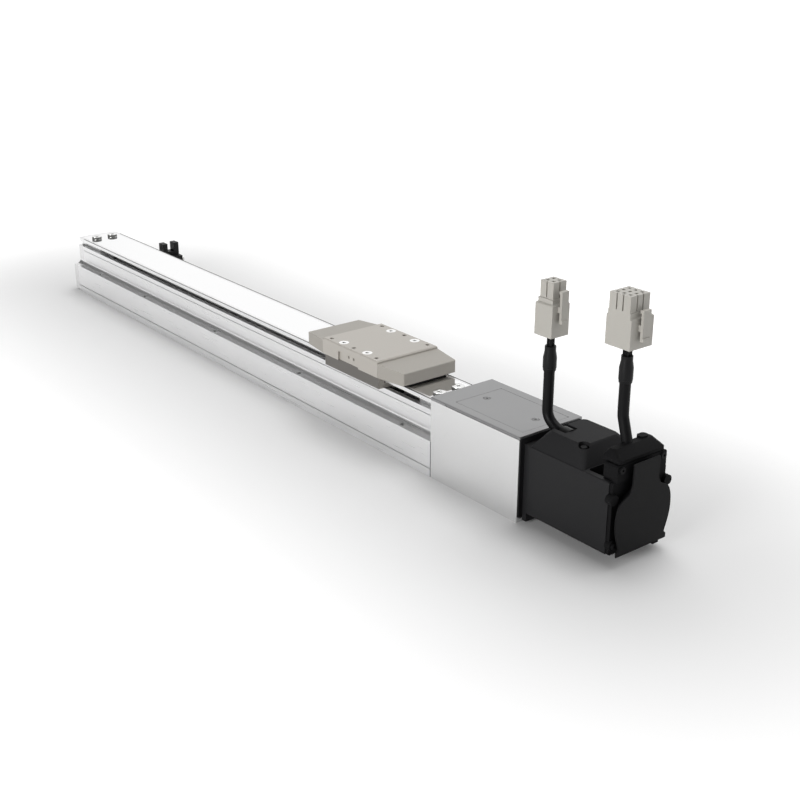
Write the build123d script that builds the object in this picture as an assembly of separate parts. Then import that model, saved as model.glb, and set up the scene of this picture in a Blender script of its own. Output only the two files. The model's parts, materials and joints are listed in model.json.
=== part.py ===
from build123d import *
import math
import os

os.makedirs("parts", exist_ok=True)

# Main sizes in millimetres: X runs along the slide, Z is up, the floor is Z = 0
housing_width = 48.0
housing_height = 51.8
housing_length = 75.5
motor_wall = 3.6
roof_thickness = 3.6
top_cover_thickness = 1.8
housing_wall = 4.8
housing_floor = 7.4
coupling_chamber_start = 20.0
access_cover_start = 15.0
access_cover_end_inset = 4.0
access_cover_half_width = 17.76
access_screw_inset = 6.7
access_screw_end_inset = 9.0
access_screw_side = 0.5
access_screw_radius = 1.25
access_ledge = 1.76
access_screw_sink = 1.0
cover_gap = 0.15
housing_bore_radius = 10.6
band_start = 13.2
band_depth = 0.5
band_height = 1.3
profile_length = 496.0
end_plate_thickness = 7.4
motor_length = 69.3
screw_axis_height = 26.8

# Section of the aluminium base profile
ledge_height = 23.2
ledge_fillet = 3.6
wall_outer = 17.76
wall_inner = 14.6
wall_top = 39.6
floor_thickness = 7.5
side_groove_height = 5.5
side_groove_size = 0.6
wall_line_height = 36.0
wall_line_size = 0.4
mount_hole_radius = 1.7
mount_hole_offset = 20.6
first_mount_hole = 31.0
mount_hole_pitch = 114.0
mount_hole_count = 4
last_mount_hole_inset = 41.0

# Fixed top cover with its bright steel strip
cover_underside = 44.0
cover_top = 46.4
cover_corner = 3.0
strip_half_width = 15.2
strip_thickness = 0.3
clamp_head_radius = 4.1
clamp_head_height = 2.6
clamp_half_pitch = 7.4
clamp_distance = 12.0
far_clamp_inset = 8.6
clamp_screw_radius = 1.95
clamp_hole_radius = 2.0
far_clamp_depth = 9.0
near_clamp_depth = 6.0
near_clamp_head_height = 1.4

# Guide rails and carriage
rail_inner = 12.3
rail_outer = 15.6
rail_half_height = 6.0
track_radius = 1.3
carriage_half_width = 11.9
carriage_bottom = 11.0
carriage_length = 58.0
arm_bottom = 40.1
arm_top = 43.5
skirt_inner = 18.3
skirt_outer = 22.6
seal_thickness = 3.0

# Slide table
table_centre = -81.6
pad_length = 59.0
cap_length = 22.0
table_bottom = 48.0
pad_top = 58.8
cap_top_inner = 57.1
cap_top_outer = 56.2
cap_half_width = 20.5
table_bolt_x = 25.0
table_bolt_y = 38.0
insert_radius = 3.2
tapped_radius = 1.65
insert_length = 8.0
small_hole_pitch = 24.0
small_hole_offset = 20.4
small_hole_radius = 1.45
side_pocket_length = 21.6
side_pocket_depth = 1.5
side_pocket_top = 54.2
grease_hole_pitch = 5.4
grease_hole_radius = 1.0

# Flag of the table, which passes through the slot of the sensor
flag_length = 12.0
flag_offset = -5.0
flag_thickness = 1.0
flag_shelf = 50.2
flag_top = 56.0
flag_bottom = 43.2
flag_screw_height = 53.8
flag_screw_radius = 1.0

# Screw, nut, bearings and coupling
screw_radius = 6.0
nut_clearance = 0.05
nut_radius = 9.5
nut_length = 34.0
nut_flange_radius = 11.3
nut_flange_thickness = 5.0
drive_journal_radius = 4.0
far_journal_radius = 3.0
drive_bearing_radius = 11.0
drive_bearing_width = 7.0
far_bearing_radius = 9.5
far_bearing_width = 6.0
far_bearing_inset = 18.0
far_block_length = 30.0
drive_block_length = 22.0
drive_bearing_inset = 16.0
block_bore_radius = 7.0
lock_sleeve_radius = 5.6
stop_length = 7.0
race_wall = 1.6
shield = 0.6
running_gap = 0.3
motor_bearing_radius = 9.5
motor_bearing_width = 6.0
rear_bearing_radius = 6.5
rear_bearing_width = 5.0
rear_journal_radius = 3.0
encoder_journal_radius = 2.6
coupling_radius = 12.5
coupling_hub_length = 14.0
spider_length = 6.0
coupling_start = 24.0

# Motor, a 40 mm square servo motor
motor_half_width = 20.6
motor_bottom = 6.15
motor_top = 47.4
backing_thickness = 0.8
backing_half_width = 23.6
flange_thickness = 3.1
flange_bottom = 1.3
gap_rear_wall = 5.8
gap_lip = 3.4
pilot_radius = 14.9
pilot_gap = 0.1
pilot_depth = 2.5
motor_screw_radius = 1.5
motor_screw_spacing = 32.4
motor_head_radius = 2.75
motor_head_length = 2.6
rotor_radius = 10.2
rotor_length = 23.0
core_radius = 15.1
encoder_cavity_radius = 13.4
encoder_screw_radius = 0.9
gap_depth = 6.4
hood_start = 4.8
hood_length = 39.7
hood_half_width = 20.4
hood_taper = 5.9
hood_shoulder = 56.3
hood_crown_inset = 1.2
lead_notch_end = 20.0
lead_notch_side = 4.8
lead_notch_depth = 4.6
clip_length = 6.4
hood_top = 57.4
lid_start = 9.7
lid_half_width = 17.0
lid_gap = 0.5
lid_edge = 1.9
lid_top = 63.0
lid_top_length = 4.2
lid_taper = 2.6
shoulder_start = 6.2
shoulder_half_width = 18.6
shoulder_top = 56.6
encoder_base_length = 2.2
encoder_cap_thickness = 4.4
cap_plate = 0.9
cap_undercut = 4.6
cap_bottom = 6.3
cap_heel_height = 2.6
cap_heel_half_width = 19.2
cap_top = 56.6
cap_foot_half_width = 17.6
cap_belly_half_width = 21.0
cap_shoulder_half_width = 17.6
cap_shoulder_height = 37.6
cap_neck_half_width = 9.9
cap_neck_height = 45.6

# Leads
lead_radius = 3.0
sleeve_radius = 3.75
power_wire_radius = 0.85
encoder_wire_radius = 0.6
power_lead_x = 76.6
power_lead_y = -4.8
power_exit_height = 53.6
power_turn_radius = 8.0
power_sleeve_bottom = 86.5
power_sleeve_top = 101.0
power_plug_bottom = 107.0
power_plug_height = 29.9
power_plug_side = 12.8
encoder_lead_inset = 12.3
encoder_lead_lean = 5.3
encoder_lead_y = -1.3
encoder_kink_height = 75.6
encoder_sleeve_bottom = 94.0
encoder_sleeve_top = 109.0
encoder_plug_bottom = 114.4
encoder_plug_height = 27.7
encoder_plug_side = 16.5
contact_pitch = 4.14

# Lengths that follow from the sizes above
half_width = housing_width / 2
joint_x = (profile_length + end_plate_thickness - housing_length - motor_length) / 2
far_inner = -profile_length
far_outer = -profile_length - end_plate_thickness
motor_front = housing_length
stator_front = motor_front + backing_thickness + flange_thickness
motor_rear = housing_length + motor_length
far_clamp_x = far_inner + far_clamp_inset
near_clamp_x = -clamp_distance
far_bearing_x = far_inner + far_bearing_inset
far_block_end = far_inner + far_block_length
drive_bearing_x = -drive_bearing_inset
stator_lower_length = motor_length - encoder_base_length - encoder_cap_thickness
stator_rear = motor_front + stator_lower_length
encoder_base_x = motor_rear - encoder_lead_inset
shoulder_rear = stator_rear + encoder_base_length + 1.0
encoder_lead_x = encoder_base_x - encoder_lead_lean
front_bearing_x = stator_front - 1.2
rotor_front = front_bearing_x + motor_bearing_width + 1.0
rear_bearing_x = rotor_front + rotor_length + 3.0


# Basic shapes, with X measured from the joint between the profile and the housing
def block(x_from, x_to, y_from, y_to, z_from, z_to):
    size = Box(x_to - x_from, y_to - y_from, z_to - z_from)
    middle = ((x_from + x_to) / 2 + joint_x, (y_from + y_to) / 2, (z_from + z_to) / 2)
    return Pos(*middle) * size


def rod_x(x_from, x_to, y, z, radius):
    shape = Rot(0, 90, 0) * Cylinder(radius, x_to - x_from)
    return Pos((x_from + x_to) / 2 + joint_x, y, z) * shape


def rod_y(x, y_from, y_to, z, radius):
    shape = Rot(90, 0, 0) * Cylinder(radius, y_to - y_from)
    return Pos(x + joint_x, (y_from + y_to) / 2, z) * shape


def rod_z(x, y, z_from, z_to, radius):
    return Pos(x + joint_x, y, (z_from + z_to) / 2) * Cylinder(radius, z_to - z_from)


def hexagon_z(x, y, z_from, z_to, across):
    outline = Pos(x + joint_x, y, z_from) * RegularPolygon(across / 2, 6, major_radius=False)
    return extrude(outline, z_to - z_from)


def hexagon_x(x_from, x_to, y, z, across):
    plane = Plane.YZ.offset(x_from + joint_x)
    outline = plane * (Pos(y, z) * RegularPolygon(across / 2, 6, major_radius=False))
    return extrude(outline, x_to - x_from)


def join(pieces):
    whole = pieces[0]
    for piece in pieces[1:]:
        whole = whole + piece
    return whole


def screw_z(x, y, under_head, head_radius, head_height, shank_radius, shank_length, across):
    head = rod_z(x, y, under_head, under_head + head_height, head_radius)
    shank = rod_z(x, y, under_head - shank_length, under_head, shank_radius)
    top = under_head + head_height
    return head + shank - hexagon_z(x, y, top - head_height * 0.5, top + 1, across)


def screw_x(x_under, y, z, head_radius, head_height, shank_radius, shank_length, across, out):
    if out > 0:
        head = rod_x(x_under, x_under + head_height, y, z, head_radius)
        shank = rod_x(x_under - shank_length, x_under, y, z, shank_radius)
        socket = hexagon_x(x_under + head_height * 0.5, x_under + head_height + 1, y, z, across)
    else:
        head = rod_x(x_under - head_height, x_under, y, z, head_radius)
        shank = rod_x(x_under, x_under + shank_length, y, z, shank_radius)
        socket = hexagon_x(x_under - head_height - 1, x_under - head_height * 0.5, y, z, across)
    return head + shank - socket


def save(shape, node):
    export_step(shape, "parts/" + node + ".step")


# Base profile
def profile_outline(top):
    lower = Pos(0, ledge_height / 2) * Rectangle(2 * half_width, ledge_height)
    upper = Pos(0, top / 2) * Rectangle(2 * wall_outer, top)
    outline = lower + upper
    for side in (-1, 1):
        corner = (side * (wall_outer + ledge_fillet / 2), ledge_height + ledge_fillet / 2)
        web = Pos(*corner) * Rectangle(ledge_fillet, ledge_fillet)
        centre = (side * (wall_outer + ledge_fillet), ledge_height + ledge_fillet)
        outline = outline + (web - Pos(*centre) * Circle(ledge_fillet))
    return outline


def side_lines(outline):
    for side in (-1, 1):
        groove = Pos(side * half_width, side_groove_height) * Rot(0, 0, 45)
        outline = outline - groove * Rectangle(side_groove_size, side_groove_size)
        line = Pos(side * wall_outer, wall_line_height) * Rot(0, 0, 45)
        outline = outline - line * Rectangle(wall_line_size, wall_line_size)
    return outline


def mount_hole_places():
    places = []
    for step in range(mount_hole_count):
        places.append(-first_mount_hole - step * mount_hole_pitch)
    places.append(-profile_length + last_mount_hole_inset)
    return places


def base_profile():
    outline = side_lines(profile_outline(wall_top))
    channel_height = wall_top - floor_thickness + 1
    channel = Pos(0, floor_thickness + channel_height / 2) * Rectangle(2 * wall_inner, channel_height)
    outline = outline - channel
    for side in (-1, 1):
        pocket = Pos(side * (wall_inner + rail_outer) / 2, screw_axis_height)
        outline = outline - pocket * Rectangle(rail_outer - wall_inner, 2 * rail_half_height)
    body = extrude(Plane.YZ.offset(far_inner + joint_x) * outline, profile_length)
    for x in mount_hole_places():
        for side in (-1, 1):
            body = body - rod_z(x, side * mount_hole_offset, -1, ledge_height + 1, mount_hole_radius)
    return body


def guide_rail(side):
    low, high = sorted((side * rail_inner, side * rail_outer))
    bottom = screw_axis_height - rail_half_height
    rail = block(far_inner, 0, low, high, bottom, bottom + 2 * rail_half_height)
    track = rod_x(far_inner - 1, 1, side * (rail_inner - 0.7), screw_axis_height, track_radius)
    return rail - track


def far_end_plate():
    outline = profile_outline(wall_top)
    tongue_height = cover_underside - wall_top
    tongue = Pos(0, wall_top + tongue_height / 2) * Rectangle(2 * wall_inner, tongue_height)
    plate = extrude(Plane.YZ.offset(far_outer + joint_x) * (outline + tongue), end_plate_thickness)
    lower_edge = plate.edges().filter_by(Axis.Y).sort_by(Axis.Z)[0:2].sort_by(Axis.X)[0]
    plate = chamfer(lower_edge, 2.4)
    for y, z in end_screw_places():
        plate = plate - rod_x(far_outer - 1, far_outer + 3.2, y, z, 2.9)
        plate = plate - rod_x(far_outer, far_inner + 1, y, z, 1.7)
    return plate


def end_screw_places():
    places = []
    for side in (-1, 1):
        places.append((side * 20.4, 12.0))
        places.append((side * 9.6, 38.4))
    return places


def end_plate_screws():
    pieces = []
    for y, z in end_screw_places():
        depth = end_plate_thickness - 3.2
        pieces.append(screw_x(far_outer + 3.2, y, z, 2.75, 3.0, 1.5, depth, 2.5, -1))
    return join(pieces)


# Bearing blocks, bearings and rubber stops inside the channel
def inner_block(x_from, x_to):
    gap = 0.1
    top = cover_underside
    width = wall_inner - gap
    shape = block(x_from, x_to, -width, width, floor_thickness, top)
    for side in (-1, 1):
        low, high = sorted((side * (rail_inner - gap), side * (wall_inner + 1)))
        bottom = screw_axis_height - rail_half_height - gap
        height = 2 * rail_half_height + 2 * gap
        shape = shape - block(x_from - 1, x_to + 1, low, high, bottom, bottom + height)
    return shape


def far_bearing_block():
    shape = inner_block(far_inner, far_block_end)
    seat_end = far_bearing_x + far_bearing_width
    seat = rod_x(far_bearing_x - 4, seat_end, 0, screw_axis_height, far_bearing_radius)
    passage = rod_x(seat_end, far_block_end + 1, 0, screw_axis_height, block_bore_radius)
    shape = shape - seat - passage
    for side in (-1, 1):
        low = cover_top - far_clamp_depth
        hole = rod_z(far_clamp_x, side * clamp_half_pitch, low, cover_underside + 1, clamp_hole_radius)
        shape = shape - hole
    return shape


def drive_bearing_block():
    shape = inner_block(-drive_block_length, 0)
    seat = rod_x(drive_bearing_x, 1, 0, screw_axis_height, drive_bearing_radius)
    passage = rod_x(-drive_block_length - 1, drive_bearing_x, 0, screw_axis_height, block_bore_radius)
    shape = shape - seat - passage
    for side in (-1, 1):
        low = cover_top - near_clamp_depth
        hole = rod_z(near_clamp_x, side * clamp_half_pitch, low, cover_underside + 1, clamp_hole_radius)
        shape = shape - hole
    return shape


def bearing_outer_race(x_from, x_to, radius, bore):
    ring = rod_x(x_from, x_to, 0, screw_axis_height, radius)
    shield_bore = bore + race_wall + running_gap
    ring = ring - rod_x(x_from - 1, x_to + 1, 0, screw_axis_height, shield_bore)
    inside = max(radius - race_wall, shield_bore + 0.2)
    return ring - rod_x(x_from + shield, x_to - shield, 0, screw_axis_height, inside)


def bearing_inner_race(x_from, x_to, bore):
    ring = rod_x(x_from, x_to, 0, screw_axis_height, bore + race_wall)
    return ring - rod_x(x_from - 1, x_to + 1, 0, screw_axis_height, bore)


def bearing_pair(outer):
    pieces = []
    for number in range(2):
        race_start = drive_bearing_x + number * drive_bearing_width
        race_end = race_start + drive_bearing_width
        if outer:
            race = bearing_outer_race(race_start, race_end, drive_bearing_radius, drive_journal_radius)
            pieces.append(race)
        else:
            pieces.append(bearing_inner_race(race_start, race_end, drive_journal_radius))
    return Compound(children=pieces)


def bearing_retainer():
    x_from = drive_bearing_x + 2 * drive_bearing_width
    ring = rod_x(x_from, 0, 0, screw_axis_height, drive_bearing_radius)
    return ring - rod_x(x_from - 1, 1, 0, screw_axis_height, lock_sleeve_radius + 1.8)


def rubber_stop(x_from, x_to):
    shape = block(x_from, x_to, -9.5, 9.5, 13.0, 19.0)
    return fillet(shape.edges().filter_by(Axis.X), 1.5)


# Drive housing
def access_screw_places():
    first = access_cover_start + access_screw_inset
    last = housing_length - access_cover_end_inset - access_screw_end_inset
    return [first, last]


def drive_housing():
    roof = housing_height - top_cover_thickness
    ceiling = roof - roof_thickness
    inner = half_width - housing_wall
    end = housing_length - motor_wall
    shape = block(0, housing_length, -half_width, half_width, 0, roof)
    cavity = block(coupling_chamber_start, end, -inner, inner, housing_floor, ceiling)
    rim = access_cover_half_width - access_ledge
    opening_end = housing_length - access_cover_end_inset - access_ledge
    opening = block(coupling_chamber_start, opening_end, -rim, rim, ceiling - 1, roof + 1)
    shape = shape - cavity - opening
    for x in access_screw_places():
        rib_start = max(x - 4, coupling_chamber_start)
        rib = block(rib_start, x + 4, -rim, rim, ceiling, roof)
        hole = rod_z(x, access_screw_side, ceiling - 1, roof + 1, access_screw_radius)
        shape = shape + rib - hole
    shape = shape - rod_x(-1, coupling_chamber_start + 1, 0, screw_axis_height, housing_bore_radius)
    shape = shape - rod_x(end - 1, housing_length + 1, 0, screw_axis_height, pilot_radius + pilot_gap)
    for y, z in motor_screw_places():
        shape = shape - rod_x(end - 1, housing_length + 1, y, z, motor_screw_radius)
        shape = shape - rod_x(end - motor_head_length - 0.2, end, y, z, motor_head_radius + 0.2)
    return shape


def housing_top_cover():
    low = housing_height - top_cover_thickness
    shape = block(0, housing_length, -half_width, half_width, low, housing_height)
    front_edge = shape.edges().filter_by(Axis.X).group_by(Axis.Z)[-1].sort_by(Axis.Y)[0]
    shape = fillet(front_edge, 0.6)
    width = access_cover_half_width
    end = housing_length - access_cover_end_inset
    shape = shape - block(access_cover_start, end, -width, width, low - 1, housing_height + 1)
    band_end = -half_width + band_depth
    band = block(band_start, housing_length + 1, -half_width - 1, band_end, low - 1, low + band_height)
    return shape - band


def access_cover():
    low = housing_height - top_cover_thickness
    x_from = access_cover_start + cover_gap
    x_to = housing_length - access_cover_end_inset - cover_gap
    width = access_cover_half_width - cover_gap
    shape = block(x_from, x_to, -width, width, low, housing_height)
    shape = fillet(shape.edges().filter_by(Axis.Z), 1.2)
    for x in access_screw_places():
        under_head = housing_height - access_screw_sink
        shape = shape - rod_z(x, access_screw_side, low - 1, housing_height + 1, access_screw_radius)
        shape = shape - rod_z(x, access_screw_side, under_head, housing_height + 1, 2.3)
    return shape


def access_cover_screws():
    pieces = []
    under_head = housing_height - access_screw_sink
    length = top_cover_thickness + roof_thickness - access_screw_sink
    for x in access_screw_places():
        screw = screw_z(x, access_screw_side, under_head, 2.2, 0.9, access_screw_radius, length, 1.5)
        pieces.append(screw)
    return join(pieces)


# Fixed cover and its bright strip
def top_cover():
    shape = block(far_outer, 0, -wall_outer, wall_outer, cover_underside, cover_top)
    corners = shape.edges().filter_by(Axis.Z).group_by(Axis.X)[0]
    shape = fillet(corners, cover_corner)
    low = cover_top - strip_thickness
    x_from = far_outer + cover_corner
    shape = shape - block(x_from, 1, -strip_half_width, strip_half_width, low, cover_top + 1)
    for x in (far_clamp_x, near_clamp_x):
        for side in (-1, 1):
            y = side * clamp_half_pitch
            shape = shape - rod_z(x, y, cover_underside - 1, cover_top + 1, clamp_hole_radius)
    return shape


def cover_strip():
    low = cover_top - strip_thickness
    x_from = far_outer + cover_corner
    shape = block(x_from, 0, -strip_half_width, strip_half_width, low, cover_top)
    for x in (far_clamp_x, near_clamp_x):
        for side in (-1, 1):
            hole = rod_z(x, side * clamp_half_pitch, low - 1, cover_top + 1, clamp_hole_radius)
            shape = shape - hole
    return shape


def clamp_screws(x, head_height, depth):
    pieces = []
    for side in (-1, 1):
        y = side * clamp_half_pitch
        screw = screw_z(x, y, cover_top, clamp_head_radius, head_height, clamp_screw_radius, depth, 2.5)
        pieces.append(screw)
    return join(pieces)


# Slot sensor at the back near the far end
sensor_x = -profile_length + 63.0
sensor_length = 7.4
sensor_prong = 4.4
sensor_slot = 6.1
sensor_top = 48.4
sensor_slot_bottom = 41.3
sensor_bottom = 30.0
sensor_foot_top = sensor_slot_bottom - 3.3
sensor_plate = 1.2


def sensor_body():
    start = half_width + sensor_plate
    width = 2 * sensor_prong + sensor_slot
    shape = block(sensor_x, sensor_x + sensor_length, start, start + width, sensor_bottom, sensor_top)
    slot_from = start + sensor_prong
    slot_to = slot_from + sensor_slot
    slot = block(sensor_x - 1, sensor_x + 20, slot_from, slot_to, sensor_slot_bottom, sensor_top + 1)
    shape = shape - slot
    foot = block(sensor_x + sensor_length, sensor_x + 13.6, start, start + width,
                 sensor_bottom, sensor_foot_top)
    foot = foot - rod_y(sensor_x + 10.5, start - 1, start + width + 1, 34.0, 1.6)
    return shape + foot


def sensor_bracket():
    plate = block(sensor_x - 4, sensor_x + 18, half_width, half_width + sensor_plate, 9.0, sensor_foot_top)
    plate = fillet(plate.edges().filter_by(Axis.Y), 2.0)
    plate = plate - rod_y(sensor_x + 10.5, half_width - 1, half_width + 3, 34.0, 1.6)
    for x in (sensor_x + 1, sensor_x + 13):
        plate = plate - rod_y(x, half_width - 1, half_width + 3, 14.0, 1.6)
    return plate


def sensor_screws():
    pieces = []
    outer = half_width + sensor_plate
    for x in (sensor_x + 1, sensor_x + 13):
        head = rod_y(x, outer, outer + 1.8, 14.0, 2.6)
        shank = rod_y(x, half_width, outer, 14.0, 1.5)
        pieces.append(head + shank)
    far = outer + 2 * sensor_prong + sensor_slot
    head = rod_y(sensor_x + 10.5, far, far + 1.8, 34.0, 2.6)
    pieces.append(head + rod_y(sensor_x + 10.5, half_width, far, 34.0, 1.5))
    return join(pieces)


# Carriage inside the channel, with arms through the side slots
def carriage():
    x_from = table_centre - carriage_length / 2
    x_to = x_from + carriage_length
    width = carriage_half_width
    shape = block(x_from, x_to, -width, width, carriage_bottom, arm_top)
    shape = shape + block(x_from, x_to, -skirt_outer, skirt_outer, arm_bottom, arm_top)
    for side in (-1, 1):
        low, high = sorted((side * skirt_inner, side * skirt_outer))
        shape = shape + block(x_from, x_to, low, high, arm_bottom, table_bottom)
        track = rod_x(x_from - 1, x_to + 1, side * (width + 1.0), screw_axis_height, track_radius)
        shape = shape - track
    shape = shape - rod_x(x_from - 1, x_to + 1, 0, screw_axis_height, nut_radius)
    for x, y in small_hole_places():
        shape = shape - rod_z(x, y, arm_bottom - 1, table_bottom + 1, 1.1)
    return shape


def ball_nut():
    x_to = table_centre + carriage_length / 2
    body = rod_x(x_to - nut_length, x_to, 0, screw_axis_height, nut_radius)
    flange = rod_x(x_to, x_to + nut_flange_thickness, 0, screw_axis_height, nut_flange_radius)
    bore = screw_radius + nut_clearance
    shape = body + flange - rod_x(x_to - nut_length - 1, x_to + 9, 0, screw_axis_height, bore)
    for y, z in nut_screw_places():
        shape = shape - rod_x(x_to - 1, x_to + nut_flange_thickness + 1, y, z, 0.9)
    return shape


def nut_screw_places():
    places = []
    for side in (-1, 1):
        for level in (-1, 1):
            places.append((side * 7.0, screw_axis_height + level * 7.0))
    return places


def nut_screws():
    pieces = []
    x = table_centre + carriage_length / 2 + nut_flange_thickness
    for y, z in nut_screw_places():
        pieces.append(screw_x(x, y, z, 1.3, 1.2, 0.85, 4.8, 1.2, 1))
    return join(pieces)


def carriage_seal(side):
    face = table_centre + side * carriage_length / 2
    x_from, x_to = sorted((face, face + side * seal_thickness))
    width = carriage_half_width - 0.1
    shape = block(x_from, x_to, -width, width, carriage_bottom + 1, arm_bottom - 1.5)
    return shape - rod_x(x_from - 1, x_to + 1, 0, screw_axis_height, nut_flange_radius + 0.1)


# Table plate, end caps and fittings
def small_hole_places():
    places = []
    for step in (-1, 0, 1):
        for side in (-1, 1):
            places.append((table_centre + step * small_hole_pitch, side * small_hole_offset))
    return places


def table_bolt_places():
    places = []
    for end in (-1, 1):
        for side in (-1, 1):
            places.append((table_centre + end * table_bolt_x / 2, side * table_bolt_y / 2))
    return places


def table_plate():
    x_from = table_centre - pad_length / 2
    x_to = x_from + pad_length
    shape = block(x_from, x_to, -half_width, half_width, table_bottom, pad_top)
    rim = shape.edges().group_by(Axis.Z)[-1]
    shape = chamfer(rim, 0.7)
    for x, y in table_bolt_places():
        shape = shape - rod_z(x, y, pad_top - insert_length, pad_top + 1, insert_radius)
    for x, y in small_hole_places():
        shape = shape - rod_z(x, y, table_bottom - 1, pad_top + 1, small_hole_radius)
    pocket_from = table_centre - 12.4
    pocket_to = pocket_from + side_pocket_length
    pocket_back = -half_width + side_pocket_depth
    pocket = block(pocket_from, pocket_to, -half_width - 1, pocket_back, table_bottom - 1, side_pocket_top)
    shape = shape - pocket
    for x in grease_hole_places():
        shape = shape - rod_y(x, -half_width, -half_width + 6, 52.2, grease_hole_radius)
    return shape


def grease_hole_places():
    return [table_centre - grease_hole_pitch / 2, table_centre + grease_hole_pitch / 2]


def grease_plugs():
    pieces = []
    for x in grease_hole_places():
        inner = -half_width + side_pocket_depth
        pieces.append(rod_y(x, inner + 0.4, -half_width + 5.8, 52.2, grease_hole_radius))
    return join(pieces)


def thread_inserts():
    pieces = []
    for x, y in table_bolt_places():
        ring = rod_z(x, y, pad_top - insert_length, pad_top - 0.1, insert_radius)
        pieces.append(ring - rod_z(x, y, pad_top - insert_length - 1, pad_top + 1, tapped_radius))
    return join(pieces)


def table_screws():
    pieces = []
    for x, y in small_hole_places():
        low = rod_z(x, y, arm_bottom + 0.5, table_bottom, 1.05)
        high = rod_z(x, y, table_bottom, pad_top - 1.0, small_hole_radius - 0.05)
        pieces.append(low + high - hexagon_z(x, y, pad_top - 2.4, pad_top, 1.3))
    return join(pieces)


def end_cap(side):
    start = table_centre + side * pad_length / 2
    inner_height = cap_top_inner - table_bottom
    outer_height = cap_top_outer - table_bottom
    inner = Plane.YZ.offset(start + joint_x) * (
        Pos(0, table_bottom + inner_height / 2) * Rectangle(2 * half_width - 0.2, inner_height))
    outer = Plane.YZ.offset(start + side * cap_length + joint_x) * (
        Pos(0, table_bottom + outer_height / 2) * Rectangle(2 * cap_half_width, outer_height))
    shape = loft([inner, outer], ruled=True)
    face = shape.faces().sort_by(Axis.X)[-1 if side > 0 else 0]
    shape = fillet(face.edges(), 0.8)
    x_from, x_to = sorted((start, start + side * (cap_length - 3)))
    return shape - block(x_from, x_to, -17.5, 17.5, table_bottom + 2, cap_top_outer - 2)


def strip_wiper(side):
    start = table_centre + side * (pad_length / 2 + cap_length - 6)
    return block(start - 2, start + 2, -16.5, 16.5, cover_top + 0.35, table_bottom)


def flag_screw_places():
    middle = table_centre + flag_offset
    return [middle - flag_length / 4, middle + flag_length / 4]


def sensor_flag():
    x_from = table_centre + flag_offset - flag_length / 2
    x_to = x_from + flag_length
    slot_middle = half_width + sensor_plate + sensor_prong + sensor_slot / 2
    y_out = slot_middle + flag_thickness / 2
    foot = block(x_from, x_to, half_width, half_width + flag_thickness, flag_shelf, flag_top)
    shelf = block(x_from, x_to, half_width, y_out, flag_shelf, flag_shelf + flag_thickness)
    blade = block(x_from, x_to, y_out - flag_thickness, y_out, flag_bottom, flag_shelf + flag_thickness)
    shape = foot + shelf + blade
    for x in flag_screw_places():
        shape = shape - rod_y(x, half_width - 1, half_width + 2, flag_screw_height, flag_screw_radius)
    return shape


def flag_screws():
    pieces = []
    under_head = half_width + flag_thickness
    for x in flag_screw_places():
        head = rod_y(x, under_head, under_head + 1.2, flag_screw_height, 1.7)
        shank = rod_y(x, half_width, under_head, flag_screw_height, flag_screw_radius)
        pieces.append(head + shank)
    return join(pieces)


# Turning parts
def ball_screw():
    thread_from = far_block_end - 1
    thread_to = drive_bearing_x - 2
    seat_end = far_bearing_x + far_bearing_width
    screw = rod_x(thread_from, thread_to, 0, screw_axis_height, screw_radius)
    far_journal = rod_x(far_bearing_x - 2, thread_from, 0, screw_axis_height, far_journal_radius)
    far_shoulder = rod_x(seat_end, thread_from, 0, screw_axis_height, far_journal_radius + 1.2)
    drive_end = coupling_start + coupling_hub_length - 1
    drive_journal = rod_x(thread_to, drive_end, 0, screw_axis_height, drive_journal_radius)
    shoulder_radius = drive_journal_radius + 1.4
    drive_shoulder = rod_x(thread_to, drive_bearing_x, 0, screw_axis_height, shoulder_radius)
    return screw + far_journal + far_shoulder + drive_journal + drive_shoulder


def lock_nut():
    sleeve_from = drive_bearing_x + 2 * drive_bearing_width
    sleeve = rod_x(sleeve_from, 0.5, 0, screw_axis_height, lock_sleeve_radius)
    nut = rod_x(0.5, 7.0, 0, screw_axis_height, 8.5)
    for turn in range(4):
        notch = block(2, 8, 6.5, 9.5, -1.5, 1.5)
        notch = notch.rotate(Axis.X, 90 * turn)
        nut = nut - Pos(0, 0, screw_axis_height) * notch
    return sleeve + nut - rod_x(sleeve_from - 1, 8, 0, screw_axis_height, drive_journal_radius)


def jaw_sector(x_from, x_to, first_angle, sweep, inner_share):
    plane = Plane.YZ.offset(x_from + joint_x)
    far = coupling_radius * 2
    corners = [(0, 0)]
    for part in range(3):
        corner = Vector(far, 0, 0).rotate(Axis.Z, first_angle + sweep * part / 2)
        corners.append((corner.X, corner.Y))
    wedge = make_face(Polyline(*corners, close=True))
    ring = Circle(coupling_radius - 0.2) - Circle(coupling_radius * inner_share)
    outline = Pos(0, screw_axis_height) * (ring & wedge)
    return extrude(plane * outline, x_to - x_from)


def coupling_hub(x_from, x_to, jaw_from, jaw_to, first_angle, clamp_x):
    shape = rod_x(x_from, x_to, 0, screw_axis_height, coupling_radius)
    for jaw in range(3):
        shape = shape + jaw_sector(jaw_from, jaw_to, first_angle + 120 * jaw, 40, 0.5)
    shape = shape - rod_x(x_from - 1, x_to + 1, 0, screw_axis_height, drive_journal_radius)
    shape = shape - rod_y(clamp_x, -14, 14, screw_axis_height + 7.5, 1.3)
    slit_top = screw_axis_height + coupling_radius + 1
    return shape - block(clamp_x - 4, clamp_x + 4, -0.5, 0.5, screw_axis_height + 3, slit_top)


def coupling_spider():
    x_from = coupling_start + coupling_hub_length + 0.2
    x_to = x_from + spider_length - 0.4
    shape = None
    for arm in range(6):
        piece = jaw_sector(x_from, x_to, 48 + 60 * arm, 18, 0.4)
        shape = piece if shape is None else shape + piece
    ring = rod_x(x_from, x_to, 0, screw_axis_height, coupling_radius * 0.45)
    return shape + ring - rod_x(x_from - 1, x_to + 1, 0, screw_axis_height, 3.4)


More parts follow.
